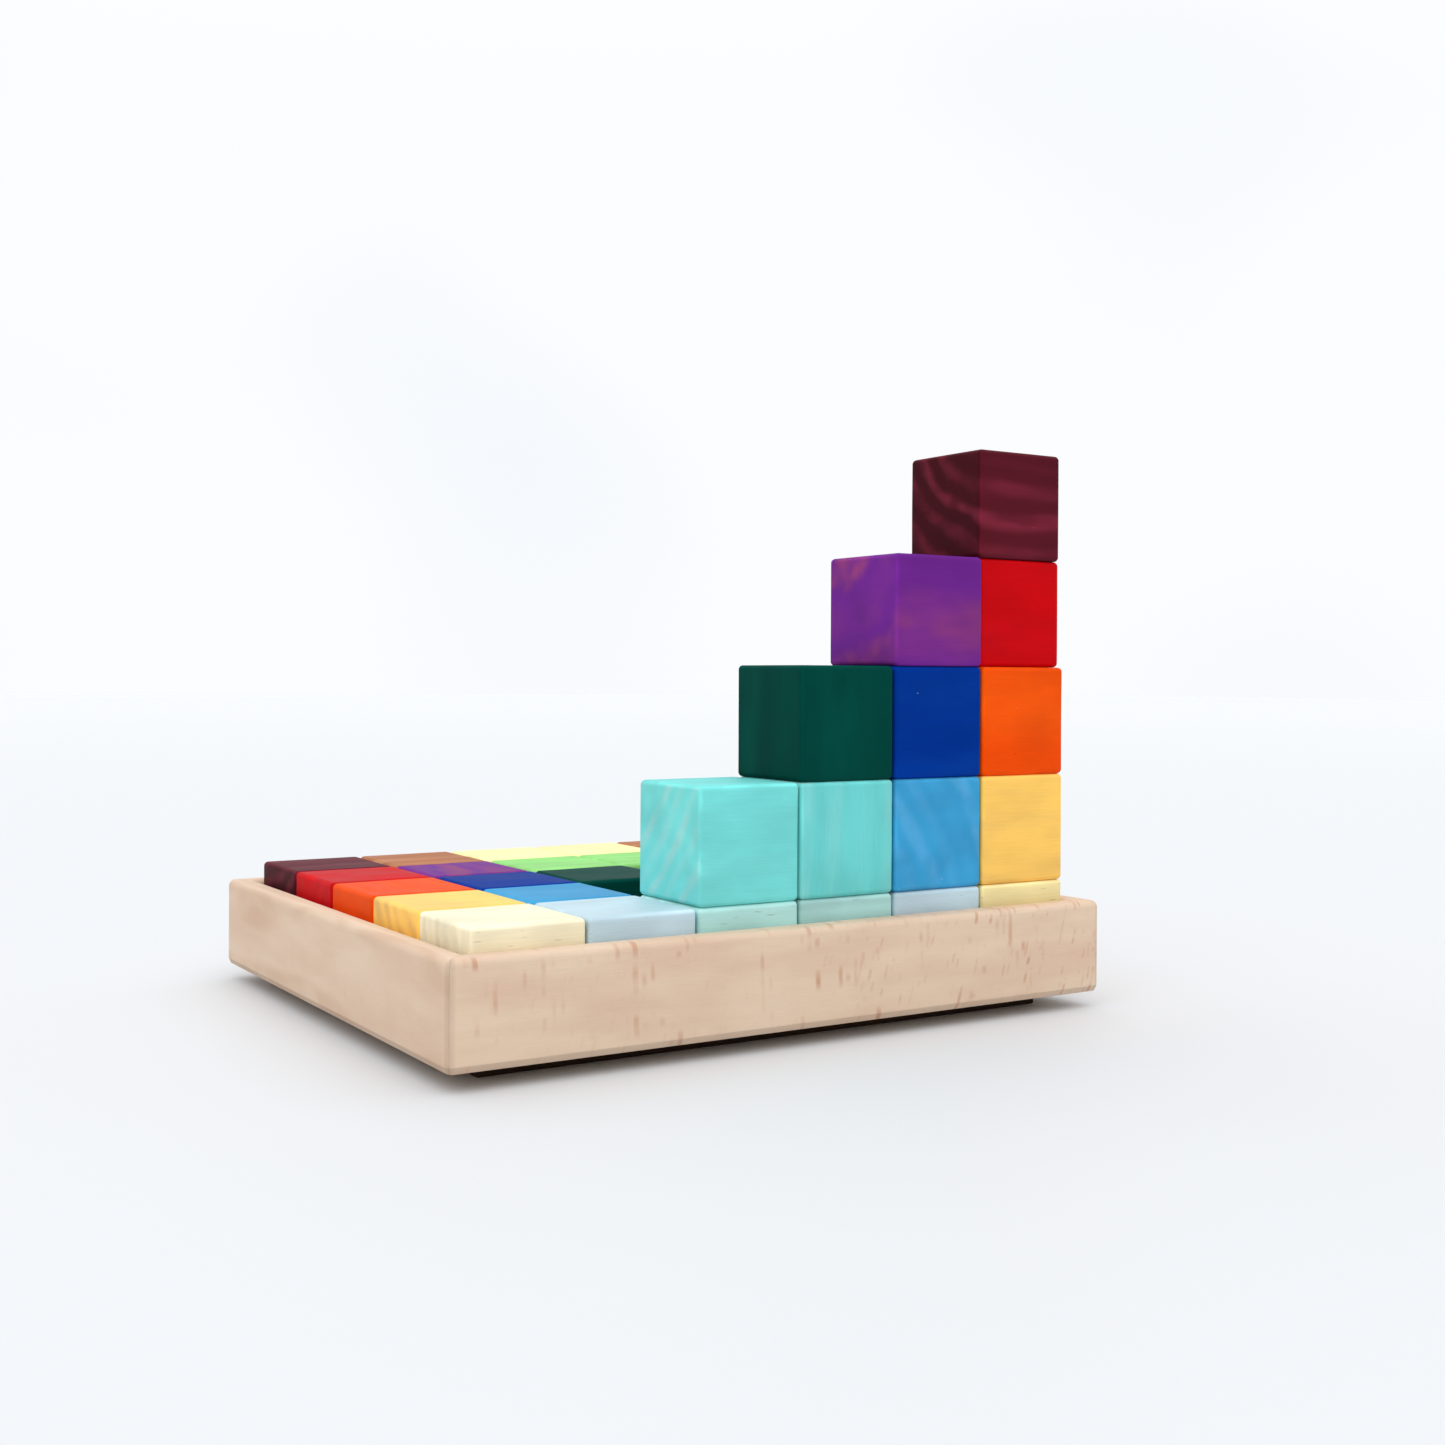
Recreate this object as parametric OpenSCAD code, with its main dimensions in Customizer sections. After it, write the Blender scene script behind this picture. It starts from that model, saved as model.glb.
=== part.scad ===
// Mosaic of stained wooden cubes in a mitred beech tray.
// Twenty cubes lie in the tray and ten are stacked as a stair on its front row.
// Frame: origin on the table under the tray's centre, +X along the front from left to
// right, +Y from the front row to the back row, +Z up. Millimetres.

/* [Cubes] */
// Edge length of one cube
cube_size = 40; // [30:0.5:60]
// Radius of a cube's eased edges
cube_round = 1.6; // [0.8:0.1:3]
// Gap between neighbouring columns of cubes
column_gap = 0.8; // [0.4:0.1:2]
// Gap between neighbouring rows of cubes
row_gap = 0.4; // [0.3:0.1:2]

/* [Tray] */
// Thickness of the four walls
wall_thick = 9.4; // [7:0.1:14]
// Height of the four walls
wall_height = 34; // [20:0.5:38]
// Play left of the first column
play_left = 2; // [0.4:0.1:4]
// Play right of the last column
play_right = 0.4; // [0.4:0.1:4]
// Play in front of the first row
play_front = 0.4; // [0.4:0.1:4]
// Play behind the last row
play_back = 0.8; // [0.4:0.1:4]
// Radius along the top edges and down the outer corners of the walls
wall_round = 2.6; // [1:0.1:3]
// Width of the bevel under the outer edge of the walls
bevel_width = 1; // [0.5:0.1:3]
// Height of that bevel
bevel_height = 2.2; // [0.5:0.1:4]

/* [Bottom board] */
// Thickness of the bottom board
board_thick = 2.4; // [2:0.1:6]
// Depth to which the board is let up into the walls
board_seat = 1.5; // [0.5:0.1:1.9]
// Width of the rebate that takes the board's edge
rebate_width = 1.4; // [1:0.1:4]

/* [Foot board] */
// Thickness of the dark board that the tray stands on
foot_thick = 5.2; // [3:0.1:8]
// How far the foot board stands back from the outer faces of the walls
foot_inset = 17; // [10:0.5:40]

/* [Hidden] */
$fn = 48;
eps = 0.01;                     // overlap of a cutter past the face that it cuts

column_pitch = cube_size + column_gap;
row_pitch = cube_size + row_gap;

// Colours of the tray level: one list per column, front to back, "" where a cell is empty
TRAY_LEVEL = [
    ["cream", "amber", "orange", "red", "burgundy"],
    ["pale_blue", "sky_blue", "royal_blue", "purple", "brown"],
    ["pale_turquoise", "", "dark_green", "light_green", "pale_yellow"],
    ["pale_turquoise", "", "", "light_green", "pale_yellow"],
    ["pale_blue", "", "", "", "brown"],
    ["cream", "", "", "", ""]
];

// Colours stacked on the front row: one list per column, from the second level up
STAIR = [
    [], [],
    ["turquoise"],
    ["turquoise", "dark_green"],
    ["sky_blue", "royal_blue", "purple"],
    ["amber", "orange", "red", "burgundy"]
];

// Stain of each colour name
STAINS = [
    ["cream", "#efe6c4"], ["amber", "#f3bb5c"], ["orange", "#ee5a12"],
    ["red", "#c4141f"], ["burgundy", "#5e1f2c"], ["pale_blue", "#b4cdd7"],
    ["sky_blue", "#4a9acb"], ["royal_blue", "#0f3c8f"], ["purple", "#75308f"],
    ["brown", "#b0744c"], ["pale_turquoise", "#a5dcd4"], ["turquoise", "#6fd2cc"],
    ["dark_green", "#0c4a40"], ["light_green", "#96dc82"], ["pale_yellow", "#f4ecae"]
];

// Cubes that stand a little off their cell: column, row, level, shift in x, shift in y
SHIFTS = [
    [3, 1, 2, 0.1, 0], [4, 1, 2, 0.1, 0], [5, 1, 4, 0.1, -0.1],
    [6, 1, 4, 0, 2.6], [6, 1, 5, -0.3, 2], [2, 4, 1, -0.2, 0]
];

columns = len(TRAY_LEVEL);
rows = len(TRAY_LEVEL[0]);
inner_width = play_left + columns * cube_size + (columns - 1) * column_gap + play_right;
inner_depth = play_front + rows * cube_size + (rows - 1) * row_gap + play_back;
tray_width = inner_width + 2 * wall_thick;
tray_depth = inner_depth + 2 * wall_thick;
floor_height = foot_thick + board_thick;                // top of the bottom board
wall_lift = floor_height - board_seat;                  // gap between table and walls

// Every cube as [column, row, level, colour]
CUBES = concat(
    [for (c = [1:columns], r = [1:rows])
        if (TRAY_LEVEL[c - 1][r - 1] != "") [c, r, 1, TRAY_LEVEL[c - 1][r - 1]]],
    [for (c = [1:columns]) for (i = [0:1:len(STAIR[c - 1]) - 1]) [c, 1, i + 2, STAIR[c - 1][i]]]
);

function cube_name(c) = str("cube_c", c[0], "r", c[1], "l", c[2], "_", c[3]);
function stain(name) = [for (s = STAINS) if (s[0] == name) s[1]][0];
function shift(c) = let (found = [for (s = SHIFTS) if ([s[0], s[1], s[2]] == [c[0], c[1], c[2]]) s])
    len(found) == 0 ? [0, 0, 0] : [found[0][3], found[0][4], 0];
function cube_place(c) = shift(c) + [
    -tray_width / 2 + wall_thick + play_left + (c[0] - 1) * column_pitch,
    -tray_depth / 2 + wall_thick + play_front + (c[1] - 1) * row_pitch,
    floor_height + (c[2] - 1) * cube_size
];

// Cutter that leaves a quarter round of radius r on the corner at the origin
module corner_cut(r) {
    difference() {
        translate([-eps, -eps]) square(r + eps);
        translate([r, r]) circle(r);
    }
}

module rounded_rectangle(w, d, r) {
    difference() {
        square([w, d]);
        corner_cut(r);
        translate([w, 0]) rotate(90) corner_cut(r);
        translate([w, d]) rotate(180) corner_cut(r);
        translate([0, d]) rotate(270) corner_cut(r);
    }
}

// A cube with all twelve edges eased: what three rounded bars at right angles share
module eased_cube() {
    intersection() {
        linear_extrude(cube_size) rounded_rectangle(cube_size, cube_size, cube_round);
        rotate([90, 0, 90]) linear_extrude(cube_size)
            rounded_rectangle(cube_size, cube_size, cube_round);
        translate([0, cube_size, 0]) rotate([90, 0, 0]) linear_extrude(cube_size)
            rounded_rectangle(cube_size, cube_size, cube_round);
    }
}

module stained_cube(c) {
    color(stain(c[3])) translate(cube_place(c)) eased_cube();
}

// Section of a wall: outer face at x = 0, underside at y = 0
module wall_profile() {
    difference() {
        square([wall_thick, wall_height]);
        translate([0, wall_height]) rotate(270) corner_cut(wall_round);
        translate([wall_thick, wall_height]) rotate(180) corner_cut(wall_round);
        polygon([
            [-eps, -eps], [bevel_width, -eps], [bevel_width, 0], [0, bevel_height], [-eps, bevel_height]
        ]);
        translate([wall_thick - rebate_width, -eps]) square([rebate_width + eps, board_seat + eps]);
    }
}

// Plan of a wall: outer face along x, mitred at both ends, outer corners rounded
module wall_plan(length) {
    difference() {
        polygon([[0, 0], [length, 0], [length - wall_thick, wall_thick], [wall_thick, wall_thick]]);
        corner_cut(wall_round);
        translate([length, 0]) rotate(90) corner_cut(wall_round);
    }
}

module wall(length) {
    color("#d9bd9c") intersection() {
        rotate([90, 0, 90]) linear_extrude(length) wall_profile();
        linear_extrude(wall_height) wall_plan(length);
    }
}

module front_wall() { translate([-tray_width / 2, -tray_depth / 2, wall_lift]) wall(tray_width); }
module back_wall() { translate([tray_width / 2, tray_depth / 2, wall_lift]) rotate(180) wall(tray_width); }
module left_wall() { translate([-tray_width / 2, tray_depth / 2, wall_lift]) rotate(270) wall(tray_depth); }
module right_wall() { translate([tray_width / 2, -tray_depth / 2, wall_lift]) rotate(90) wall(tray_depth); }

module board(w, d, thick, low) {
    translate([-w / 2, -d / 2, low]) linear_extrude(thick) rounded_rectangle(w, d, 1);
}

// The bottom board closes the tray from below
module bottom_board() {
    color("#b99a78")
        board(inner_width + 2 * rebate_width, inner_depth + 2 * rebate_width, board_thick, foot_thick);
}

// The foot board lifts the tray off the table, set back so far that its sides hardly show
module foot_board() {
    color("#3a2618") board(tray_width - 2 * foot_inset, tray_depth - 2 * foot_inset, foot_thick, 0);
}

foot_board();
bottom_board();
front_wall();
back_wall();
left_wall();
right_wall();
for (c = CUBES) stained_cube(c);
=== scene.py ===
"""Looks of the stained wooden cubes and their beech tray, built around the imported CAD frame.

Lengths are metres in the CAD frame. Wood figure is worked out in millimetres, in each piece's
own coordinates, so that it goes right through the wood and moves with the piece.
"""

import math
import random

import bmesh
import bpy
from mathutils import Matrix, Vector, noise


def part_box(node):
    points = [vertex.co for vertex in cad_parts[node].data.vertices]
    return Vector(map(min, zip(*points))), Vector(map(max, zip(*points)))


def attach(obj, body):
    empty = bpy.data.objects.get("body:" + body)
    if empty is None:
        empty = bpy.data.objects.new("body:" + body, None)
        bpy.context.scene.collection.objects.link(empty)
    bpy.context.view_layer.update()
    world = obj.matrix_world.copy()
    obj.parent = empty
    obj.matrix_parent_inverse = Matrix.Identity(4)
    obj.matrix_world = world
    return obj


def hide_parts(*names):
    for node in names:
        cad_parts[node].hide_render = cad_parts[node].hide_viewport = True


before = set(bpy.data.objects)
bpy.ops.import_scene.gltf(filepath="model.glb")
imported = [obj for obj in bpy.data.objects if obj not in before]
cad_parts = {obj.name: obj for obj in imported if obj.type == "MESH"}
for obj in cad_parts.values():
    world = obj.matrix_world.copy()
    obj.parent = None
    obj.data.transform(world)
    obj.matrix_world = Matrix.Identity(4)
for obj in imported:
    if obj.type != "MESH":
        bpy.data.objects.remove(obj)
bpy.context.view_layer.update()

MM = 0.001

# ---------------------------------------------------------------- camera and light

CAMERA_PLACE = (-0.3276, -0.5560, 0.1237)
CAMERA_HEADING = 31.585              # degrees from +Y towards +X
CAMERA_PITCH = -0.12                 # degrees above the horizon
CAMERA_ROLL = 0.334                  # degrees, right side up
CAMERA_LENS = 41.08                  # mm
CAMERA_SENSOR = 36                   # mm, its width
CAMERA_SHIFT = (0.03, -0.03)

# The room's colours, by where they are as seen from the photograph's side of the object.
ROOM_AHEAD = (0.965, 0.98, 1.0)      # behind the object, and the backdrop in every view
ROOM_FRONT = (0.60, 0.61, 0.62)      # in front, dimmer: this is what the front faces mirror
ROOM_ABOVE = (1.22, 1.23, 1.24)
ROOM_PATCH = (0.88, 0.91, 0.95)      # multiplies soft patches all round
SUN_PLACE = (-0.55, -0.85, 1.25)     # where the softbox stands, as seen from the object
SUN_STRENGTH = 0.95
SUN_SPREAD = 80                      # degrees across
FLOOR_COLOUR = (0.705, 0.718, 0.735)
FLOOR_FAR = (0.735, 0.746, 0.759)    # towards the horizon, to meet the backdrop
FLOOR_FADE = (0.7, 5.0)              # distances at which that change begins and ends
FLOOR_HALF = 9.0                     # half of its side

# ---------------------------------------------------------------- shapes that the boxes don't give

CUBE_EASE = 1.7 * MM                 # edges of a cube, a little rounder than in the CAD
CUBE_UNEVEN = 0.16                   # share by which that radius varies
CUBE_SPANS = (6, 6, 6)               # mesh spans of the flat part along x, y and z
WORN_WAVES, SANDED_WAVES = 45, 90    # noise per metre: in the radius, and in what sanding took off
SANDED_DEPTH = 0.12 * MM
WALL_ROUND = 2.6 * MM                # top edges and outer corners of the walls
WALL_BEVEL = (1.0 * MM, 2.2 * MM)    # width and height of the cut under the outer face
BOARD_EASE = 0.5 * MM
FOOT_EASE = 0.8 * MM
BOARD_SPANS = (12, 10, 2)
MITRE_GAP, MITRE_EASE = 0.03 * MM, 0.12 * MM     # half the joint, and the easing of its edges
WALL_SPANS = 18                      # along a wall, between its mitres

# ---------------------------------------------------------------- wood

# stain: (colour, colour of the growth rings, how strongly the rings show)
STAINS = {
    "cream": ("#f2e8c6", "#c6bea2", 0.36),
    "amber": ("#ffca5c", "#c79c5c", 0.60),
    "orange": ("#ec4a00", "#ff7a1e", 0.30),
    "red": ("#c4000a", "#dc1428", 0.28),
    "burgundy": ("#551320", "#8e2c42", 0.85),
    "pale_blue": ("#bcd5e0", "#8fa6ae", 0.45),
    "sky_blue": ("#3a97c8", "#6cb0dc", 0.32),
    "royal_blue": ("#00318c", "#1048a6", 0.30),
    "purple": ("#6a2488", "#943f6a", 0.80),
    "brown": ("#a96a44", "#d9a884", 0.60),
    "pale_turquoise": ("#acdfda", "#86aaa6", 0.45),
    "turquoise": ("#6accc9", "#a9d6d2", 0.50),
    "dark_green": ("#004038", "#04594c", 0.40),
    "light_green": ("#8fd878", "#c8efb0", 0.40),
    "pale_yellow": ("#f6eda6", "#d8c880", 0.40),
}

# Wood of the cubes that show most: cube: (grain axis, pith in mm from the cube's centre across
# the grain, ring width in mm, how much the rings show on the long faces). Cubes that aren't here
# get theirs from a seeded draw.
FIGURES = {
    "c6r1l5": ("x", (-34.0, 44.0), 9.5, 0.55),
    "c5r1l4": ("x", (38.0, 46.0), 17.0, 0.9),
    "c6r1l4": ("x", (20.0, 80.0), 19.0, 0.8),
    "c4r1l3": ("z", (-48.0, 60.0), 18.0, 0.8),
    "c5r1l3": ("x", (60.0, 75.0), 20.0, 0.6),
    "c6r1l3": ("x", (90.0, -95.0), 24.0, 0.5),
    "c3r1l2": ("x", (85.0, 66.0), 7.5, 0.06),
    "c4r1l2": ("z", (55.0, -12.0), 12.0, 0.45),
    "c5r1l2": ("y", (-88.0, -46.0), 9.0, 0.5),
    "c6r1l2": ("x", (14.0, 75.0), 16.0, 0.45),
    "c1r1l1": ("x", (-95.0, 14.0), 6.0, 0.12),
    "c2r1l1": ("x", (-60.0, -90.0), 9.0, 0.35),
    "c3r1l1": ("x", (-70.0, -80.0), 8.0, 0.5),
    "c4r1l1": ("x", (-20.0, -75.0), 6.5, 0.7),
    "c5r1l1": ("x", (30.0, -85.0), 7.0, 0.6),
    "c6r1l1": ("x", (-40.0, -70.0), 8.0, 0.7),
    "c1r2l1": ("x", (-36.0, 46.0), 8.0, 0.25),
    "c2r4l1": ("y", (40.0, -60.0), 7.0, 1.0),
}

# Cubes whose stain is off the others of its name.
TINTS = {
    "c6r1l1": "#efdf9f",
    "c3r1l1": "#b3e6e1",
    "c4r1l1": "#a4d3cf",
    "c3r1l2": "#76d8d4",
}
PALE = ("cream", "pale_yellow", "pale_blue", "pale_turquoise")

# Per stain: how far the rings stray from circles in mm, and how thin they are.
RING_SHAPE = {"burgundy": (15.0, 3.2), "purple": (30.0, 1.1), "turquoise": (7.0, 2.2),
              "sky_blue": (8.0, 1.6)}
RING_SHAPE_USUAL = (11.0, 1.5)

# Brightness of the end grain against the long faces.
END_SHADE = {"burgundy": 0.60, "purple": 1.20}
END_SHADE_USUAL = 1.05

# How strongly a face mirrors the room.
SHINE = {"amber": 0.5, "dark_green": 0.02, "royal_blue": 0.02}
SHINE.update({stain: 0.8 for stain in PALE})
SHINE_USUAL = 0.05

WOOD_IOR = 1.45
CRACK_COLOUR = "#6f675a"
PALE_SPECK = (0.80, 0.78, 0.74, 1.0)
DARK_SPECK = (0.17, 0.10, 0.06, 1.0)
BEECH_LIGHT, BEECH_DEEP = "#e0c7ae", "#d9bba2"
BEECH_RING, BEECH_FLECK = "#c49d7e", "#c6977a"
BOARD_LIGHT, BOARD_DEEP = "#cdb08c", "#b8966f"
# Painted shade: the foot board is coloured near black so that the gap under the walls reads as deep
# shade.
FOOT_PAINTED_SHADE, FOOT_PAINTED_SHADE_DEEP = "#35200f", "#25160c"


def linear(text):
    """A hex colour as linear red, green, blue and alpha."""
    parts = [int(text[i:i + 2], 16) / 255 for i in (1, 3, 5)]
    return [((p + 0.055) / 1.055) ** 2.4 if p > 0.04045 else p / 12.92 for p in parts] + [1.0]


class Graph:
    """A material's node tree, with short words for the nodes that the woods are made of."""

    def __init__(self, name):
        self.material = bpy.data.materials.new(name)
        self.material.use_nodes = True
        self.tree = self.material.node_tree
        self.tree.nodes.clear()

    def add(self, kind, sockets=None, **settings):
        node = self.tree.nodes.new(kind)
        for key, value in settings.items():
            setattr(node, key, value)
        for key, value in (sockets or {}).items():
            if isinstance(value, bpy.types.NodeSocket):
                self.tree.links.new(value, node.inputs[key])
            else:
                node.inputs[key].default_value = value
        return node

    def math(self, operation, *values):
        node = self.add("ShaderNodeMath", dict(enumerate(values)), operation=operation)
        return node.outputs[0]

    def vector(self, operation, *values):
        node = self.add("ShaderNodeVectorMath", dict(enumerate(values)), operation=operation)
        return node.outputs["Value" if operation in ("LENGTH", "DOT_PRODUCT") else "Vector"]

    def split(self, vector):
        return self.add("ShaderNodeSeparateXYZ", {0: vector}).outputs[:]

    def join(self, x, y, z):
        return self.add("ShaderNodeCombineXYZ", {0: x, 1: y, 2: z}).outputs[0]

    def noise(self, vector, detail=2.0, roughness=0.5, distortion=0.0):
        """Noise from about 0 to 1 with a grain of one unit of the vector."""
        node = self.add("ShaderNodeTexNoise", {"Vector": vector, "Scale": 1.0, "Detail": detail,
                                               "Roughness": roughness, "Distortion": distortion})
        return node.outputs[0]

    def draw(self, value):
        """A fixed random number from 0 to 1 for each value."""
        return self.add("ShaderNodeTexWhiteNoise", {"W": value}, noise_dimensions="1D").outputs["Value"]

    def span(self, value, low, high, to_low=0.0, to_high=1.0):
        """Value eased from to_low at low to to_high at high."""
        node = self.add("ShaderNodeMapRange", {"Value": value, "From Min": low, "From Max": high,
                                               "To Min": to_low, "To Max": to_high},
                        interpolation_type="SMOOTHSTEP")
        return node.outputs[0]

    def mix(self, factor, first, second, blend="MIX"):
        node = self.add("ShaderNodeMix", {"Factor": factor}, data_type="RGBA", blend_type=blend)
        for socket, value in ((node.inputs[6], first), (node.inputs[7], second)):
            if isinstance(value, bpy.types.NodeSocket):
                self.tree.links.new(value, socket)
            else:
                socket.default_value = value
        return node.outputs[2]

    def surface(self, colour, roughness, height, relief, **constants):
        """The material's shader: colour, roughness and a bump of the given relief in metres.
        The constants are set on the shader's own sockets."""
        bump = self.add("ShaderNodeBump", {"Height": height, "Distance": relief, "Strength": 1.0})
        shader = self.add("ShaderNodeBsdfPrincipled", {"Base Color": colour, "Roughness": roughness,
                                                       "Normal": bump.outputs[0], **constants})
        self.add("ShaderNodeOutputMaterial", {"Surface": shader.outputs[0]})
        return self.material


def wood_space(graph, axis, seed):
    """The place in millimetres, the same across, up and along the grain, the normal's share along
    the grain, and a place of the piece's own in the noise."""
    coordinates = graph.add("ShaderNodeTexCoord")
    here = graph.vector("MULTIPLY", coordinates.outputs["Object"], (1 / MM,) * 3)
    order = {"x": (1, 2, 0), "y": (0, 2, 1), "z": (0, 1, 2)}[axis]
    parts = graph.split(here)
    across, up, along = (parts[i] for i in order)
    facing = graph.math("ABSOLUTE", graph.split(coordinates.outputs["Normal"])[order[2]])
    shift = random.Random(seed)
    place = tuple(shift.uniform(-400, 400) for _ in range(3))
    return here, across, up, along, facing, place


def grown(graph, across, up, along, place, sizes, **settings):
    """Noise stretched to the given sizes in mm across, up and along the grain."""
    point = graph.vector("ADD", graph.join(across, up, along), place)
    return graph.noise(graph.vector("DIVIDE", point, sizes), **settings)


def rings(graph, across, up, along, place, pith, width, wander, narrow):
    """Growth rings about the pith, from 0 between them to 1 in them; narrow thins them."""
    near = graph.vector("SUBTRACT", graph.join(across, up, 0.0), (*pith, 0.0))
    wide = grown(graph, across, up, along, place, (30.0, 30.0, 80.0), detail=1.0)
    fine = grown(graph, across, up, along, place, (7.0, 7.0, 45.0), detail=2.0)
    radius = graph.math("MULTIPLY_ADD", wide, wander, graph.vector("LENGTH", near))
    radius = graph.math("MULTIPLY_ADD", fine, 0.18 * wander, radius)
    phase = graph.math("DIVIDE", radius, width)
    lean = graph.math("SINE", graph.math("MULTIPLY", phase, math.tau))
    wave = graph.math("COSINE", graph.math("MULTIPLY_ADD", lean, 0.45,
                                           graph.math("MULTIPLY", phase, math.tau)))
    part = graph.math("POWER", graph.math("MULTIPLY_ADD", wave, -0.4999, 0.5), narrow)
    year = graph.draw(graph.math("FLOOR", phase))
    fade = grown(graph, along, across, up, place, (26.0, 11.0, 11.0), detail=1.0)
    clear = graph.math("MULTIPLY", graph.span(year, 0.0, 1.0, 0.15, 1.0),
                       graph.span(fade, 0.38, 0.60, 0.45, 1.10))
    return graph.math("MULTIPLY", part, clear)


def edge_mask(graph, here, half):
    """1 along the edges of a cube with this half size in mm, 0 on its faces."""
    x, y, z = (graph.math("ABSOLUTE", part) for part in graph.split(here))
    pairs = [graph.math("MINIMUM", a, b) for a, b in ((x, y), (y, z), (x, z))]
    nearest = graph.math("MAXIMUM", graph.math("MAXIMUM", pairs[0], pairs[1]), pairs[2])
    return graph.span(nearest, half - 1.5, half - 0.35)


def specks(graph, here, place, cell, radius, share):
    """Round specks in this share of the cells; cell and radius are in mm."""
    point = graph.vector("ADD", here, place)
    cells = graph.add("ShaderNodeTexVoronoi", {"Vector": graph.vector("DIVIDE", point, (cell,) * 3),
                                               "Scale": 1.0})
    chosen = graph.math("LESS_THAN", graph.split(cells.outputs["Color"])[0], share)
    dot = graph.span(cells.outputs["Distance"], 0.4 * radius / cell, radius / cell, 1.0, 0.0)
    return graph.math("MULTIPLY", chosen, dot)


def stained_wood(name, stain, figure, cell, half):
    """Softwood under a transparent stain with a satin finish."""
    base, ring, strength = STAINS[stain]
    base = TINTS.get(cell, base)
    axis, pith, width, side = figure
    graph = Graph(name)
    here, across, up, along, facing, place = wood_space(graph, axis, cell)
    wander, narrow = RING_SHAPE.get(stain, RING_SHAPE_USUAL)
    late = rings(graph, across, up, along, place, pith, width, wander, narrow)
    blotch = grown(graph, across, up, along, place, (15.0, 15.0, 30.0), detail=2.5)
    fibre = grown(graph, across, up, along, place, (0.42, 0.42, 16.0), detail=3.0, roughness=0.6)
    end = graph.span(facing, 0.6, 0.95)
    seen = graph.math("MULTIPLY", late, graph.span(end, 0.0, 1.0, side * strength, strength))
    colour = graph.mix(seen, linear(base), linear(ring))
    light = graph.span(blotch, 0.25, 0.75, 0.91, 1.09)
    streak = graph.span(fibre, 0.30, 0.72, 0.965, 1.028)
    value = graph.math("MULTIPLY", light, graph.math("MULTIPLY", streak,
                       graph.span(end, 0.0, 1.0, 1.0, END_SHADE.get(stain, END_SHADE_USUAL))))
    rubbed = graph.math("MULTIPLY", edge_mask(graph, here, half),
                        graph.span(blotch, 0.40, 0.70, 0.02, 0.24))
    value = graph.math("MULTIPLY", value, graph.math("ADD", rubbed, 1.0))
    colour = graph.add("ShaderNodeHueSaturation", {"Color": colour, "Value": value}).outputs[0]
    if stain in PALE:
        hair = grown(graph, across, up, along, tuple(p + 77.0 for p in place), (0.55, 0.55, 5.5),
                     detail=0.0)
        line = graph.math("MULTIPLY", graph.span(hair, 0.77, 0.84), 0.45)
        colour = graph.mix(line, colour, linear(CRACK_COLOUR))
    pale = specks(graph, here, place, 5.0, 0.28, 0.14)
    dark = specks(graph, here, tuple(p + 31.0 for p in place), 7.0, 0.30, 0.12)
    colour = graph.mix(graph.math("MULTIPLY", pale, 0.5), colour, PALE_SPECK)
    colour = graph.mix(graph.math("MULTIPLY", dark, 0.6), colour, DARK_SPECK, "MULTIPLY")
    roughness = graph.span(graph.math("ADD", fibre, blotch), 0.6, 1.4, 0.44, 0.58)
    height = graph.math("ADD", graph.math("MULTIPLY", fibre, 0.7),
                        graph.math("MULTIPLY", late, 0.5))
    return graph.surface(colour, roughness, height, 0.05 * MM,
                         **{"IOR": WOOD_IOR, "Specular IOR Level": SHINE.get(stain, SHINE_USUAL)})


def fleck_bars(graph, across, up, along, place, pitch, tall, slant, share):
    """Ray flecks: bars up to tall mm high in some of the columns that are pitch mm wide."""
    sway = grown(graph, across, up, along, place, (20.0, 9.0, 20.0), detail=1.0)
    tilted = graph.math("MULTIPLY_ADD", up, slant, graph.math("MULTIPLY_ADD", sway, 0.9, along))
    column = graph.math("MULTIPLY_ADD", tilted, 1 / pitch, place[0])
    number = graph.math("FLOOR", column)
    luck = graph.draw(number)
    middle = graph.math("PINGPONG", column, 0.5)
    edge = graph.math("MULTIPLY_ADD", luck, 0.18, 0.02)
    pulse = graph.span(graph.math("SUBTRACT", middle, edge), 0.02, 0.34)
    spot = graph.noise(graph.join(graph.math("MULTIPLY", number, 7.31),
                                  graph.math("DIVIDE", up, tall),
                                  graph.math("DIVIDE", across, 14.0)), detail=1.0)
    bar = graph.math("MULTIPLY", pulse, graph.span(spot, 0.52, 0.70))
    strength = graph.span(luck, 0.0, share, 1.0, 0.35)
    return graph.math("MULTIPLY", graph.math("MULTIPLY", bar, strength),
                      graph.math("LESS_THAN", luck, share))


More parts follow.
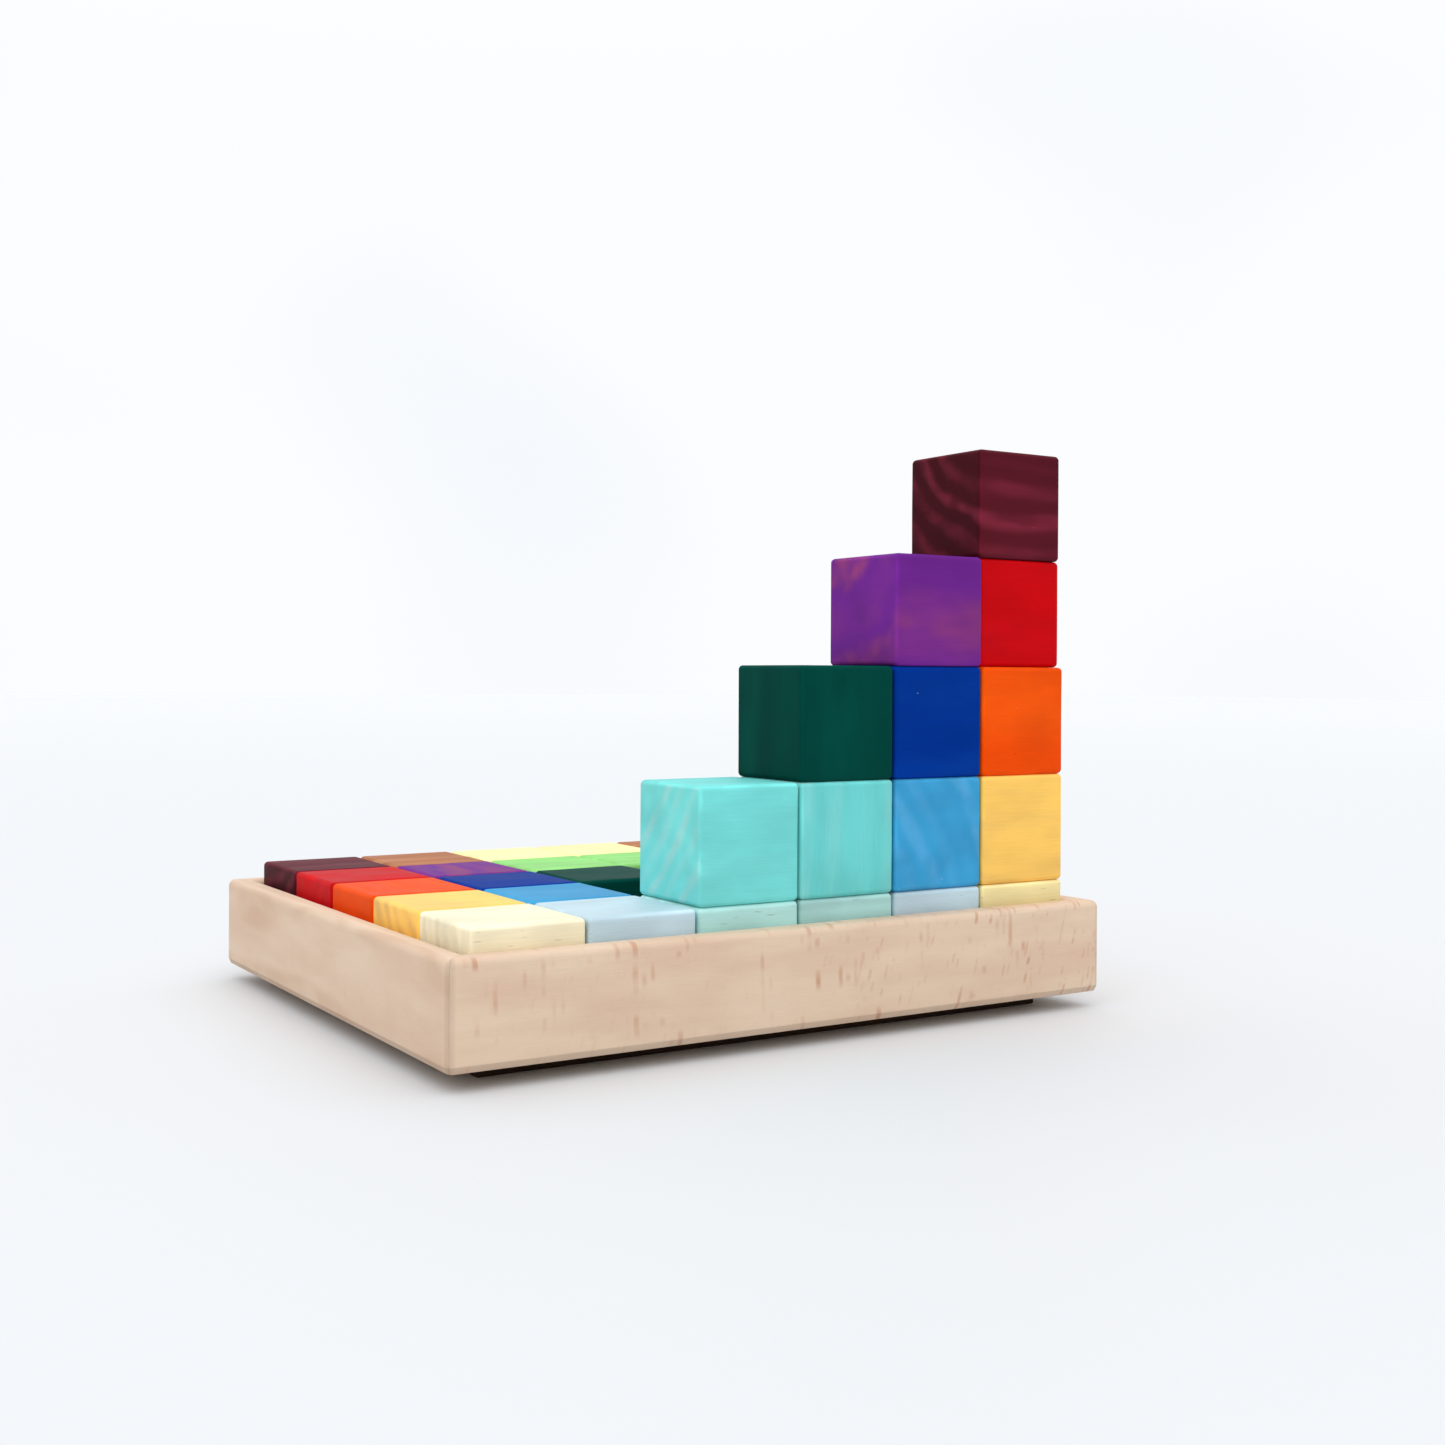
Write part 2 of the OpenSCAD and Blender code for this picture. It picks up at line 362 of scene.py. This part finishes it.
def beech(name, axis, seed, pith, ringed, flecked, half_length, half_height):
    """Pale beech: fine fibre along the grain, and ray flecks as short bars across it. The end
    grain at the mitres has taken the oil darker, and the bevel under the wall is darkened as
    painted shade, since it faces down."""
    graph = Graph(name)
    _, across, up, along, _, place = wood_space(graph, axis, seed)
    late = rings(graph, across, up, along, place, pith, width=4.6, wander=12.0, narrow=1.3)
    blotch = grown(graph, across, up, along, place, (14.0, 14.0, 45.0), detail=3.0)
    fibre = grown(graph, across, up, along, place, (0.26, 0.26, 10.0), detail=4.0, roughness=0.62)
    colour = graph.mix(graph.span(blotch, 0.3, 0.72), linear(BEECH_LIGHT), linear(BEECH_DEEP))
    colour = graph.mix(graph.math("MULTIPLY", late, ringed), colour, linear(BEECH_RING))
    patch = grown(graph, across, up, along, place, (20.0, 16.0, 22.0), detail=1.0)
    reach = graph.math("DIVIDE", along, half_length)
    large = fleck_bars(graph, across, up, along, place, 3.2, 10.0, 0.03, 0.8)
    large = graph.math("MULTIPLY", large, graph.span(patch, 0.42, 0.54))
    small = fleck_bars(graph, across, up, along, place[::-1], 2.3, 5.0, -0.28, 0.7)
    small = graph.math("MULTIPLY", small, graph.span(reach, -0.2, 0.7, 0.15, 0.9))
    flecks = graph.math("MULTIPLY", graph.math("MAXIMUM", large, small), flecked)
    colour = graph.mix(flecks, colour, linear(BEECH_FLECK))
    streak = graph.span(fibre, 0.28, 0.72, 0.96, 1.03)
    mitre = graph.span(graph.math("ABSOLUTE", along), half_length - 3.0, half_length - 1.2,
                       1.0, 0.84)
    # Painted shade: the bevel under the outer face faces down, so its colour is darkened to 0.82 as if
    # in shade.
    bevel_top = WALL_BEVEL[1] / MM - half_height
    bevel = graph.span(up, bevel_top - 0.3, bevel_top + 0.4, 0.82, 1.0)
    value = graph.math("MULTIPLY", graph.math("MULTIPLY", streak, mitre), bevel)
    colour = graph.add("ShaderNodeHueSaturation", {"Color": colour, "Value": value}).outputs[0]
    roughness = graph.span(fibre, 0.3, 0.7, 0.50, 0.62)
    height = graph.math("SUBTRACT", graph.math("MULTIPLY", fibre, 0.8),
                        graph.math("MULTIPLY", flecks, 0.4))
    return graph.surface(colour, roughness, height, 0.04 * MM,
                         **{"IOR": WOOD_IOR, "Specular IOR Level": 0.3})


def plain_board(name, pale, deep):
    """Thin board with long dull grain between two colours."""
    graph = Graph(name)
    _, across, up, along, _, place = wood_space(graph, "x", name)
    blotch = grown(graph, across, up, along, place, (20.0, 20.0, 110.0), detail=3.0)
    fibre = grown(graph, across, up, along, place, (0.5, 0.5, 18.0), detail=4.0, roughness=0.6)
    colour = graph.mix(graph.span(blotch, 0.3, 0.7), linear(pale), linear(deep))
    streak = graph.span(fibre, 0.28, 0.72, 0.90, 1.05)
    colour = graph.add("ShaderNodeHueSaturation", {"Color": colour, "Value": streak}).outputs[0]
    return graph.surface(colour, graph.span(fibre, 0.3, 0.7, 0.6, 0.75), fibre, 0.05 * MM,
                         **{"IOR": WOOD_IOR, "Specular IOR Level": 0.2})


# ---------------------------------------------------------------- meshes

SHARP_ANGLE = math.radians(32)


def mesh_object(name, points, faces, place, material):
    """An object with its origin at place; points are relative to it."""
    mesh = bpy.data.meshes.new(name)
    mesh.from_pydata([tuple(p) for p in points], [], faces)
    shell = bmesh.new()
    shell.from_mesh(mesh)
    bmesh.ops.recalc_face_normals(shell, faces=shell.faces)
    for face in shell.faces:
        face.smooth = True
    for edge in shell.edges:
        edge.smooth = len(edge.link_faces) == 2 and edge.calc_face_angle(0.0) < SHARP_ANGLE
    shell.to_mesh(mesh)
    shell.free()
    mesh.materials.append(material)
    piece = bpy.data.objects.new(name, mesh)
    piece.location = place
    bpy.context.scene.collection.objects.link(piece)
    return piece


def cuts(half, radius, inner, steps=4):
    """Grid lines from -half to half: even turns at both rounded edges, inner even spans between."""
    turn = [half - radius + radius * math.tan(math.radians(45 * i / steps))
            for i in range(steps, -1, -1)]
    margin = half - radius - 0.3 * MM
    middle = [margin * (1 - 2 * i / inner) for i in range(inner + 1)]
    return [-x for x in turn] + [-x for x in middle] + turn[::-1]


def surface_grid(lines):
    """Points and quads of a box's surface, cut along the lines of each axis."""
    last = [len(axis_lines) - 1 for axis_lines in lines]
    index, points, faces = {}, [], []

    def corner(key):
        if key not in index:
            index[key] = len(points)
            points.append(Vector(lines[axis][key[axis]] for axis in range(3)))
        return index[key]

    for axis in range(3):
        a, b = (axis + 1) % 3, (axis + 2) % 3
        for side in (0, last[axis]):
            for i in range(last[a]):
                for j in range(last[b]):
                    loop = []
                    for di, dj in ((0, 0), (1, 0), (1, 1), (0, 1)):
                        key = [0, 0, 0]
                        key[axis], key[a], key[b] = side, i + di, j + dj
                        loop.append(corner(tuple(key)))
                    faces.append(loop)
    return points, faces


def eased_box(name, low, high, radius, inner, place_seed, material, uneven=0.0):
    """A box with rounded edges. uneven is the share by which hand sanding changes the radius;
    inner gives the spans of its flat part along x, y and z."""
    middle, half = (low + high) / 2, (high - low) / 2
    lines = [cuts(half[axis], radius, inner[axis]) for axis in range(3)]
    points, faces = surface_grid(lines)
    drift = Vector(random.Random(place_seed).uniform(-50, 50) for _ in range(3))
    for i, point in enumerate(points):
        wave = noise.noise(point * WORN_WAVES + drift)
        local = radius * (1 + uneven * wave)
        core = Vector(max(-half[a] + local, min(half[a] - local, point[a])) for a in range(3))
        out = (point - core).normalized()
        sanded = uneven * SANDED_DEPTH * (1 + noise.noise(point * SANDED_WAVES - drift))
        points[i] = core + out * (local - sanded)
    return mesh_object(name, points, faces, middle, material)


def arc(centre, radius, start, end, steps=6):
    """Points on an arc from start to end degrees."""
    turn = [math.radians(start + (end - start) * i / steps) for i in range(steps + 1)]
    return [(centre[0] + radius * math.cos(t), centre[1] + radius * math.sin(t)) for t in turn]


def wall_section(thick, height, edge, bevel, rebate, seat):
    """Section of a wall as (depth from the outer face, height) points, counter-clockwise.
    bevel is the width and height of the cut under the outer face."""
    low_ease, high_ease = 0.4 * MM, 0.6 * MM
    slope = 180 + math.degrees(math.atan2(bevel[0], bevel[1]))     # direction that the cut faces
    run = low_ease * math.tan(math.radians(270 - slope) / 2)
    rise = high_ease * math.tan(math.radians(slope - 180) / 2)
    points = arc((bevel[0] + run, low_ease), low_ease, 270, slope, 4)
    points += arc((high_ease, bevel[1] + rise), high_ease, slope, 180, 3)
    points += [(0.0, height * 0.45)]
    points += arc((edge, height - edge), edge, 180, 90)
    points += arc((thick - edge, height - edge), edge, 90, 0)
    points += [(thick, height * 0.45), (thick, seat), (thick - rebate, seat), (thick - rebate, 0.0)]
    return points


def wall(name, start, heading, length, section, corner, material):
    """A mitred wall: the section swept from one mitre to the other, round the outer corners.
    start is the outer corner that it begins at, heading the direction of its length in degrees."""
    thick = max(p[0] for p in section)
    middle = (thick / 2, sum(p[1] for p in section) / len(section))
    joint, ease = MITRE_GAP, MITRE_EASE
    turns = [45 + 45 * i / 5 for i in range(6)]
    straight = thick + 2 * MM

    def station(depth, turn):
        """Plan position at this depth on one of the turns of the outer corner."""
        if depth < corner:
            t = math.radians(turn)
            return corner - (corner - depth) * math.cos(t), corner - (corner - depth) * math.sin(t)
        return depth + (straight - depth) * (turn - 45) / 90, depth

    shrunk = [(d + (ease if d < middle[0] else -ease), h + (ease if h < middle[1] else -ease))
              for d, h in section]
    ends = [[(station(d, 45)[0] + joint, station(d, 45)[1], h) for d, h in shrunk]]
    ends += [[(station(d, t)[0] + (joint + ease if t == 45 else 0), station(d, t)[1], h)
              for d, h in section] for t in turns]
    rows = list(ends)
    for i in range(WALL_SPANS + 1):
        x = straight + (length - 2 * straight) * i / WALL_SPANS
        rows.append([(x, d, h) for d, h in section])
    rows += [[(length - x, y, h) for x, y, h in row] for row in ends[::-1]]
    n = len(section)
    points = [Vector(p) for row in rows for p in row]
    faces = [[r * n + i, r * n + (i + 1) % n, (r + 1) * n + (i + 1) % n, (r + 1) * n + i]
             for r in range(len(rows) - 1) for i in range(n)]
    faces += [list(range(n)), list(range((len(rows) - 1) * n, len(rows) * n))]
    turn = Matrix.Translation(start) @ Matrix.Rotation(math.radians(heading), 4, "Z")
    points = [turn @ p for p in points]
    low = Vector(min(p[a] for p in points) for a in range(3))
    high = Vector(max(p[a] for p in points) for a in range(3))
    centre = (low + high) / 2
    return mesh_object(name, [p - centre for p in points], faces, centre, material)


# ---------------------------------------------------------------- the object

def show(piece, node, body):
    """The piece stands for the CAD node and moves with the body."""
    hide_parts(node)
    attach(piece, body)


def cube_figure(cell):
    """Grain axis, pith, ring width and how much the rings show: chosen, or drawn by the cell."""
    if cell in FIGURES:
        return FIGURES[cell]
    pick = random.Random("figure " + cell)
    axis = pick.choice("xxxy")
    pith = (pick.choice((-1, 1)) * pick.uniform(25, 80), pick.choice((-1, 1)) * pick.uniform(40, 90))
    return axis, pith, pick.uniform(6.0, 11.0), 0.5


def build_cubes():
    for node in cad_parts:
        if not node.startswith("cube_"):
            continue
        cell, stain = node.split("_", 2)[1:]
        low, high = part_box(node)
        half = (high.x - low.x) / 2
        material = stained_wood("wood_" + cell, stain, cube_figure(cell), cell, half / MM)
        piece = eased_box("block_" + cell, low, high, CUBE_EASE, CUBE_SPANS, cell, material,
                          CUBE_UNEVEN)
        show(piece, node, node)


def build_tray():
    left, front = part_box("left_wall"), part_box("front_wall")
    right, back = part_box("right_wall"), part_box("back_wall")
    low = Vector((left[0].x, front[0].y, front[0].z))
    high = Vector((right[1].x, back[1].y, back[1].z))
    thick = left[1].x - low.x
    board_low, board_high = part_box("bottom_board")
    rebate = low.x + thick - board_low.x
    seat = board_high.z - low.z
    section = wall_section(thick, high.z - low.z, WALL_ROUND, WALL_BEVEL, rebate, seat)
    width, depth = high.x - low.x, high.y - low.y
    # node: (outer corner, heading, length, grain axis, pith, how much the rings and flecks show)
    walls = {
        "front_wall": ((low.x, low.y, low.z), 0, width, "x", (-52.0, 64.0), 0.10, 0.9),
        "right_wall": ((high.x, low.y, low.z), 90, depth, "y", (30.0, -60.0), 0.15, 0.5),
        "back_wall": ((high.x, high.y, low.z), 180, width, "x", (45.0, 55.0), 0.12, 0.8),
        "left_wall": ((low.x, high.y, low.z), 270, depth, "y", (70.0, 18.0), 0.42, 0.08),
    }
    for node, (start, heading, length, axis, *looks) in walls.items():
        material = beech("beech_" + node, axis, node, *looks, length / 2 / MM,
                         (high.z - low.z) / 2 / MM)
        piece = wall("tray_" + node, start, heading, length, section, WALL_ROUND, material)
        show(piece, node, "tray")
    board = eased_box("tray_board", board_low, board_high, BOARD_EASE, BOARD_SPANS, 5,
                      plain_board("board_wood", BOARD_LIGHT, BOARD_DEEP))
    show(board, "bottom_board", "tray")
    # The foot's near-black colour is painted shade for the gap under the walls.
    foot_low, foot_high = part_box("foot_board")
    foot = eased_box("tray_foot", foot_low, foot_high, FOOT_EASE, BOARD_SPANS, 7,
                     plain_board("foot_wood", FOOT_PAINTED_SHADE, FOOT_PAINTED_SHADE_DEEP))
    show(foot, "foot_board", "tray")


# ---------------------------------------------------------------- stage

def build_floor():
    graph = Graph("floor_white")
    away = graph.vector("LENGTH", graph.add("ShaderNodeTexCoord").outputs["Object"])
    colour = graph.mix(graph.span(away, *FLOOR_FADE), (*FLOOR_COLOUR, 1.0), (*FLOOR_FAR, 1.0))
    shader = graph.add("ShaderNodeBsdfPrincipled", {"Base Color": colour, "Roughness": 0.6,
                                                    "Specular IOR Level": 0.2})
    graph.add("ShaderNodeOutputMaterial", {"Surface": shader.outputs[0]})
    h = FLOOR_HALF
    floor = mesh_object("floor", [(-h, -h, 0), (h, -h, 0), (h, h, 0), (-h, h, 0)], [[0, 1, 2, 3]],
                        (0, 0, 0), graph.material)


def build_light():
    world = bpy.data.worlds.new("room")
    world.use_nodes = True
    room = Graph.__new__(Graph)
    room.tree = world.node_tree
    room.tree.nodes.clear()
    direction = room.add("ShaderNodeTexCoord").outputs["Generated"]
    turn = math.radians(CAMERA_HEADING)
    ahead = room.vector("DOT_PRODUCT", direction, (math.sin(turn), math.cos(turn), 0.0))
    height = room.split(direction)[2]
    backdrop = room.add("ShaderNodeLightPath").outputs["Is Camera Ray"]     # pale from any side
    pale = room.math("MAXIMUM", room.span(ahead, -0.35, 0.55), backdrop)
    colour = room.mix(pale, (*ROOM_FRONT, 1.0), (*ROOM_AHEAD, 1.0))
    colour = room.mix(room.span(height, 0.30, 0.85), colour, (*ROOM_ABOVE, 1.0))
    patch = room.noise(room.vector("MULTIPLY", direction, (3.0, 3.0, 4.0)), detail=0.5)
    colour = room.mix(room.span(patch, 0.45, 0.75, 0.0, 0.5), colour, (*ROOM_PATCH, 1.0), "MULTIPLY")
    background = room.add("ShaderNodeBackground", {"Color": colour, "Strength": 1.0})
    room.add("ShaderNodeOutputWorld", {"Surface": background.outputs[0]})
    bpy.context.scene.world = world

    lamp = bpy.data.lights.new("softbox", "SUN")
    lamp.energy = SUN_STRENGTH
    lamp.angle = math.radians(SUN_SPREAD)
    holder = bpy.data.objects.new("softbox", lamp)
    holder.location = SUN_PLACE
    holder.rotation_euler = (-Vector(SUN_PLACE)).to_track_quat("-Z", "Y").to_euler()
    bpy.context.scene.collection.objects.link(holder)


def build_camera():
    camera = bpy.data.objects.new("camera", bpy.data.cameras.new("camera"))
    camera.data.lens = CAMERA_LENS
    camera.data.sensor_width = CAMERA_SENSOR
    camera.data.shift_x, camera.data.shift_y = CAMERA_SHIFT
    camera.data.clip_start = 0.01
    heading, pitch, roll = (math.radians(v) for v in (CAMERA_HEADING, CAMERA_PITCH, CAMERA_ROLL))
    camera.matrix_world = (Matrix.Translation(CAMERA_PLACE) @ Matrix.Rotation(-heading, 4, "Z")
                           @ Matrix.Rotation(math.radians(90) + pitch, 4, "X")
                           @ Matrix.Rotation(roll, 4, "Z"))
    bpy.context.scene.collection.objects.link(camera)
    bpy.context.scene.camera = camera


bpy.context.scene.view_settings.view_transform = "Standard"
build_camera()
build_floor()
build_light()
build_cubes()
build_tray()
